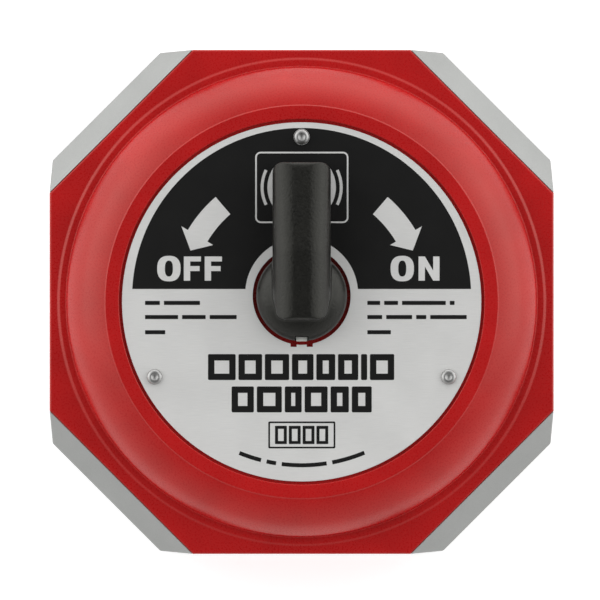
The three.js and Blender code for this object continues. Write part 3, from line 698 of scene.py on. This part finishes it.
# the print is measured in millimetres from the plate's middle
printing = {
    "thickness": 0.03 * mm,
    "sector": (1.3, 50.35, 3.84),  # centre, radius and lower edge
    "halo": (2.4, 16.75),  # centre and radius of the bare ring round the hub
    "rivetRing": 2.4,
    "frame": (-13.8, 23.4, 13.9, 44.6, 1.65, 0.5),  # left, bottom, right, top, corner, line
    "magnet": (35.3, 5.6, 2.6, 9),  # centre, outer and inner radius, length of the legs
    "fieldMiddle": 34,
    "fieldLines": ((8.6, 10.2, 34), (11.3, 12.2, 26)),  # inner and outer radius, spread in degrees
    "arrow": (1.37, 32.5, 39.25, 30.5, 41.5, 35.8),  # centre, band radii, head radii, tip radius
    "arrowAngles": (130.6, 149.4, 157.2),  # tail, barbs, tip
    "letters": (6.3, 13.5),  # foot and cap height
    "letterStroke": (1.9, 1.5),  # upright and crossways
    # rows of boxes: left, bottom, top, widths, gap, corner, stroke
    "boxRows": (
        (-27.8, -23.2, -15.5, (8.2, 7.0, 7.2, 6.4, 5.6, 6.0, 1.8, 7.2), 0.84, 0.4, 1.9),
        (-20.8, -32.8, -25.1, (6.6, 7.4, 5.0, 6.8, 5.4, 5.9), 0.9, 0.4, 1.9),
        (-7.9, -42.2, -36.8, (3.5, 3.5, 3.5, 3.5), 0.6, 0.2, 0.9)),
    "codeFrame": (-9.9, -43.5, 10.0, -35.5, 0.4, 0.5),  # left, bottom, right, top, corner, line
    # rows of bars: left, middle, widths
    "barRows": (
        (-46.5, -0.3, (4.4, 10.7)), (-46.5, -4.5, (9.8, 7.0, 8.0)), (-46.5, -9.0, (6.0,)),
        (19.5, -0.3, (3.8, 4.1, 13.0, 1.4)), (19.5, -4.5, (4.4, 7.7, 3.0, 10.8)), (19.5, -9.0, (7.0,))),
    "bar": (1.2, 1.2, 0.15),  # thickness, gap and corner
    "curvedBars": (47.9, 49.1, ((-22.4, -14.4), (-12.4, -9.0), (-7.0, 8.8), (10.8, 22.6))),
}


def letterO(left, right, foot, top, stroke=2.3, counter=1.45):
    x, y, a, b = (left + right) / 2, (foot + top) / 2, (right - left) / 2, (top - foot) / 2 + 0.2
    outlines = []
    for wide, tall in ((a, b), (a - stroke, b - counter)):
        ring = []
        for point in range(64):
            turn = math.tau * point / 64
            c, s = math.cos(turn), math.sin(turn)
            across, up = [math.copysign(abs(value) ** 0.8, value) for value in (c, s)]
            ring.append((x + wide * across, y + tall * up))
        outlines.append(ring)
    return outlines


def letterF(left, right, foot, top, upright, bar):
    middle = (foot + top) / 2 + 0.5 * bar
    return [[
        (left, foot), (left + upright, foot), (left + upright, middle - bar), (right - 0.4, middle - bar),
        (right - 0.4, middle), (left + upright, middle), (left + upright, top - bar), (right, top - bar),
        (right, top), (left, top)]]


def letterN(left, right, foot, top, upright):
    return [[
        (left, foot), (left + upright, foot), (left + upright, top - 0.42 * (top - foot)),
        (right - upright, foot), (right, foot), (right, top), (right - upright, top),
        (right - upright, foot + 0.42 * (top - foot)), (left + upright, top), (left, top)]]


def arrowOutline(sizes, side):
    middle, inner, outer, headIn, headOut, tip = sizes["arrow"]
    tail, barb, point = sizes["arrowAngles"]
    outline = arcPoints(0, middle, outer, outer, tail, barb)
    for radius, angle in ((headOut, barb), (tip, point), (headIn, barb)):
        outline += arcPoints(0, middle, radius, radius, angle, angle, 1)
    outline += arcPoints(0, middle, inner, inner, barb, tail)
    return [[(side * x, y) for x, y in outline]]


def emblem(sizes):
    # a horseshoe magnet with two field lines on each side
    y, outer, inner, leg = sizes["magnet"]
    shapes = [[
        *arcPoints(0, y, outer, outer, 0, 180), (-outer, y - leg), (-inner, y - leg),
        *arcPoints(0, y, inner, inner, 180, 0), (inner, y - leg), (outer, y - leg)]]
    middle = sizes["fieldMiddle"]
    for side in (-1, 1):
        for near, far, spread in sizes["fieldLines"]:
            arc = arcPoints(0, middle, far, far, -spread, spread)
            arc += arcPoints(0, middle, near, near, spread, -spread)
            shapes.append([(side * x, y) for x, y in arc])
    return shapes


def sectorOutlines(sizes):
    middle, radius, edge = sizes["sector"]
    haloMiddle, haloRadius = sizes["halo"]
    start = math.degrees(math.asin((edge - middle) / radius))
    haloStart = math.degrees(math.asin((edge - haloMiddle) / haloRadius))
    outlines = [[
        *arcPoints(0, middle, radius, radius, start, 180 - start, 128),
        *arcPoints(0, haloMiddle, haloRadius, haloRadius, 180 - haloStart, haloStart, 64)]]
    left, bottom, right, top, corner, line = sizes["frame"]
    outlines.append(boxPoints(left, bottom, right, top, corner))
    outlines.append(boxPoints(left + line, bottom + line, right - line, top - line, corner - line))
    outlines += emblem(sizes)
    outlines += arrowOutline(sizes, 1) + arrowOutline(sizes, -1)
    foot, cap = sizes["letters"]
    upright, bar = sizes["letterStroke"]
    outlines += letterO(-42.9, -35.95, foot, cap)
    for left, right in ((-35.0, -29.9), (-28.8, -23.65)):
        outlines += letterF(left, right, foot, cap, upright, bar)
    outlines += letterO(26.4, 33.35, foot, cap) + letterN(34.7, 40.95, foot, cap, upright)
    x, y, z = middleOf("label_rivet_1") / mm
    outlines.append(arcPoints(x, y, sizes["rivetRing"], sizes["rivetRing"], 0, 345, 23))
    return outlines


def inkRow(left, bottom, top, widths, gap, corner=0.0, stroke=0.0):
    # a row of bars, or of hollow boxes where a stroke is given
    outlines = []
    for width in widths:
        outlines.append(boxPoints(left, bottom, left + width, top, corner))
        if 2 * stroke < width and stroke > 0:
            outlines.append(boxPoints(left + stroke, bottom + stroke, left + width - stroke, top - stroke))
        left += width + gap
    return outlines


def inkOutlines(sizes):
    # boxes and bars that stand in for lines of words
    outlines = []
    for row in sizes["boxRows"]:
        outlines += inkRow(*row)
    left, bottom, right, top, corner, line = sizes["codeFrame"]
    outlines.append(boxPoints(left, bottom, right, top, corner))
    outlines.append(boxPoints(left + line, bottom + line, right - line, top - line, corner / 2))
    thick, gap, corner = sizes["bar"]
    for left, level, widths in sizes["barRows"]:
        outlines += inkRow(left, level - thick / 2, level + thick / 2, widths, gap, corner)
    inner, outer, spans = sizes["curvedBars"]
    for start, end in spans:
        arc = arcPoints(0, 0, outer, outer, 270 + start, 270 + end)
        outlines.append(arc + arcPoints(0, 0, inner, inner, 270 + end, 270 + start))
    return outlines


def makePrint(name, outlines, sizes):
    scaled = [[(x * mm, y * mm) for x, y in points] for points in outlines]
    piece = addPlate(name, scaled, plateTop, plateTop + sizes["thickness"])
    return finished(piece, "holder", labelBlack)


makePrint("printedSector", sectorOutlines(printing), printing)
makePrint("printedBars", inkOutlines(printing), printing)
print("print")


# lever: a bar over a shallow hub, moulded in one

lever = {
    "reach": high["lever"].y - axisY,  # axis to tip
    "tail": 7.1 * mm,
    "width": 17.3 * mm,
    "tailWidth": 15.3 * mm,
    "bottom": 2.2 * mm,  # above the label plate
    "drop": 3 * mm,  # lower at the tip
    "corner": 3 * mm,  # plan
    "endRound": 1.1 * mm,  # top edge at both ends
    "crown": (6.9 * mm, 6.2 * mm),  # width and depth of the rounding along each side
    "hub": high["lever"].x,
    "hubBottom": low["lever"].z,
    "hubSkirt": 2.6 * mm,
    "hubHeight": 9 * mm,
    "voxel": 0.3 * mm,
    "bore": (5.3 * mm, 60.8 * mm),  # radius, and level of its end
    "pinBore": 1.65 * mm,
    "socket": (1.95 * mm, 1.45 * mm, 0.95 * mm),  # half width, length and depth of the mark's seat
}


def leverOutlines(sizes):
    top, bottom = high["lever"].z, plateTop + sizes["bottom"]
    half, tailHalf, corner = sizes["width"] / 2, sizes["tailWidth"] / 2, sizes["corner"]
    reach, tail = sizes["reach"], sizes["tail"]
    plan = [
        (half, 0), *arcPoints(half - corner, reach - corner, corner, corner, 0, 90),
        *arcPoints(corner - half, reach - corner, corner, corner, 90, 180), (-half, 0),
        *arcPoints(corner - tailHalf, corner - tail, corner, corner, 180, 270),
        *arcPoints(tailHalf - corner, corner - tail, corner, corner, 270, 360)]
    wide, deep = sizes["crown"]
    section = [
        (-half, bottom), (half, bottom), *arcPoints(half - wide, top - deep, wide, deep, 0, 90),
        *arcPoints(wide - half, top - deep, wide, deep, 90, 180)]
    end, drop = sizes["endRound"], sizes["drop"]
    side = [
        (-tail, bottom), (reach, bottom), *arcPoints(reach - end, top - drop - end, end, end, 0, 90),
        (reach - end, top + mm), (end - tail, top + mm),
        *arcPoints(end - tail, top - end, end, end, 90, 180)]
    return plan, section, side


def makeLever(sizes):
    plan, section, side = leverOutlines(sizes)
    top = high["lever"].z
    near, far, hub = -sizes["tail"] - mm, sizes["reach"], sizes["hub"]
    bar = addPlate("lever", [section], -hub, -near, (quarter, 0, 0), (0, axisY, 0))
    bpy.ops.object.mode_set(mode="EDIT")
    pickFaces(lambda place, normal: normal.y > 0.9)
    bpy.ops.mesh.extrude_region_move(TRANSFORM_OT_translate={"value": (0, far - hub, 0)})
    bottom = plateTop + sizes["bottom"]
    share = 1 - sizes["drop"] / (top - bottom)
    bpy.ops.transform.resize(value=(1, 1, share), center_override=(0, far, bottom))
    bpy.ops.object.mode_set(mode="OBJECT")
    combine(bar, addPlate("leverPlan", [plan], 0, top + mm, move=(0, axisY, 0)), "INTERSECT")
    combine(bar, addPlate("leverSide", [side], -0.1, 0.1, (quarter, 0, quarter), (0, axisY, 0)), "INTERSECT")
    foot, skirt = sizes["hubBottom"], sizes["hubSkirt"]
    rings = [(hub, foot), (hub, foot + skirt)]
    for angle in range(6, 90, 6):
        turn = math.radians(angle)
        rings.append((hub * math.cos(turn), foot + skirt + (sizes["hubHeight"] - skirt) * math.sin(turn)))
    rings.append((0, foot + sizes["hubHeight"]))
    combine(bar, addTurned("hub", rings, y=axisY, sides=192), "UNION")
    applyModifier(bar, "REMESH", mode="VOXEL", voxel_size=sizes["voxel"], use_smooth_shade=True)
    applyModifier(bar, "SMOOTH", factor=0.5, iterations=10)
    radius, end = sizes["bore"]
    combine(bar, addRod("leverBore", radius, foot - mm, end, y=axisY, sides=64))
    pin = middleOf("lever_pin")
    combine(bar, addRod("pinBore", sizes["pinBore"], -far, far, axisY, pin.z, 48, "X"))
    half, length, depth = sizes["socket"]
    rim = axisY - hub
    lowCorner, highCorner = (-half, rim - mm, foot + skirt - depth), (half, rim + length, foot + 3 * skirt)
    combine(bar, addBlock("markSeat", lowCorner, highCorner))
    return finished(bar, "switch", blackNylon, ["lever"])


leverPiece = makeLever(lever)
print("lever:", len(leverPiece.data.polygons), "faces")

mark = {"edge": 0.12 * mm, "taper": 0.86}  # rounding, and width of its outer face against the inner


def makeMark(sizes):
    lowCorner, highCorner = low["index_mark"], high["index_mark"]
    piece = addBlock("indexMark", lowCorner, highCorner)
    bpy.ops.object.mode_set(mode="EDIT")
    pickFaces(lambda place, normal: normal.y < -0.9)
    bpy.ops.transform.resize(value=(sizes["taper"], 1, 1))
    bpy.ops.object.mode_set(mode="OBJECT")
    roundEdges(piece, sizes["edge"])
    return finished(piece, "switch", whiteInlay, ["index_mark"])


makeMark(mark)


# camera, lights and floor

stage = {
    "cameraHeight": 6,  # above the flange
    "viewWidth": 0.1785,  # seen at the flange
    "aim": (-0.49 * mm, 0.565 * mm),
    "floorSize": 8,
    "floorGlow": 0.6,
    "lightPlace": (1.2, 0.3, 1.15),  # one on each side
    "lightSize": (1.5, 1.8),
    "lightPower": 7.6,
    # world brightness by the height of the direction: 0 is the horizon and 1 is overhead
    "sky": ((0, 1.28), (0.3, 1.12), (0.47, 0.88), (0.72, 0.48), (0.85, 0.25), (0.95, 0.1), (1, 0.07)),
    "skyTilt": 0.5,  # brighter towards +Y, darker towards -Y
}


def makeLights(sizes):
    x, y, z = sizes["lightPlace"]
    for name, side in (("softLeft", -1), ("softRight", 1)):
        bpy.ops.object.light_add(type="AREA", location=(side * x, y, z))
        light = bpy.context.object
        light.name = name
        light.data.shape = "RECTANGLE"
        light.data.size, light.data.size_y = sizes["lightSize"]
        light.data.energy = sizes["lightPower"]
        light.rotation_euler = (-light.location).to_track_quat("-Z", "Y").to_euler()


def makeSky(sizes):
    world = bpy.data.worlds.new("studio")
    bpy.context.scene.world = world
    world.use_nodes = True
    tree = world.node_tree
    place = tree.nodes.new("ShaderNodeTexCoord")
    split = tree.nodes.new("ShaderNodeSeparateXYZ")
    tree.links.new(place.outputs["Generated"], split.inputs[0])
    ramp = tree.nodes.new("ShaderNodeValToRGB")
    points = ramp.color_ramp.elements
    points.remove(points[1])
    brightest = max(value for step, value in sizes["sky"])
    for index, (step, value) in enumerate(sizes["sky"]):
        point = points[0] if index == 0 else points.new(step)
        point.position = step
        point.color = (*[value / brightest] * 3, 1)
    tree.links.new(split.outputs["Z"], ramp.inputs["Fac"])
    tilt = tree.nodes.new("ShaderNodeMath")
    tilt.operation = "MULTIPLY_ADD"
    tilt.inputs[1].default_value = sizes["skyTilt"] * brightest
    tilt.inputs[2].default_value = brightest
    tree.links.new(split.outputs["Y"], tilt.inputs[0])
    background = tree.nodes["Background"]
    tree.links.new(ramp.outputs["Color"], background.inputs["Color"])
    tree.links.new(tilt.outputs[0], background.inputs["Strength"])


def makeStage(sizes):
    bpy.ops.object.camera_add(location=(*sizes["aim"], flangeTop + sizes["cameraHeight"]))
    camera = bpy.context.object
    camera.name = "camera"
    camera.data.sensor_width = 36
    camera.data.lens = 36 * sizes["cameraHeight"] / sizes["viewWidth"]
    bpy.context.scene.camera = camera
    bpy.ops.mesh.primitive_plane_add(size=sizes["floorSize"], location=(0, 0, -0.2 * mm))
    floor = bpy.context.object
    floor.name = "floor"
    material, tree, shader = newMaterial("paleFloor", Roughness=0.7)
    shader.inputs["Base Color"].default_value = (0.9, 0.9, 0.9, 1)
    shader.inputs["Emission Color"].default_value = (1, 1, 1, 1)
    shader.inputs["Emission Strength"].default_value = sizes["floorGlow"]
    floor.data.materials.append(material)
    makeLights(sizes)
    makeSky(sizes)
    bpy.context.scene.view_settings.view_transform = "Standard"


makeStage(stage)
print("stage")

# finishes of the pieces inside, by a word in their names
looks = {
    "lever_pin": brightSteel, "separator": bronze, "dowel": brightSteel, "magnet": nickelPlate,
    "carrier": rotorAluminium, "seal": sealRubber, "spring": spindleSteel, "spindle_screw": screwSteel,
    "spindle": spindleSteel, "bush": bronze, "washer": bronze, "pin": brightSteel, "ball": brightSteel,
}
for node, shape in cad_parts.items():
    kept = [material for word, material in looks.items() if word in node]
    if kept:
        shape.data.materials.clear()
        shape.data.materials.append(kept[0])
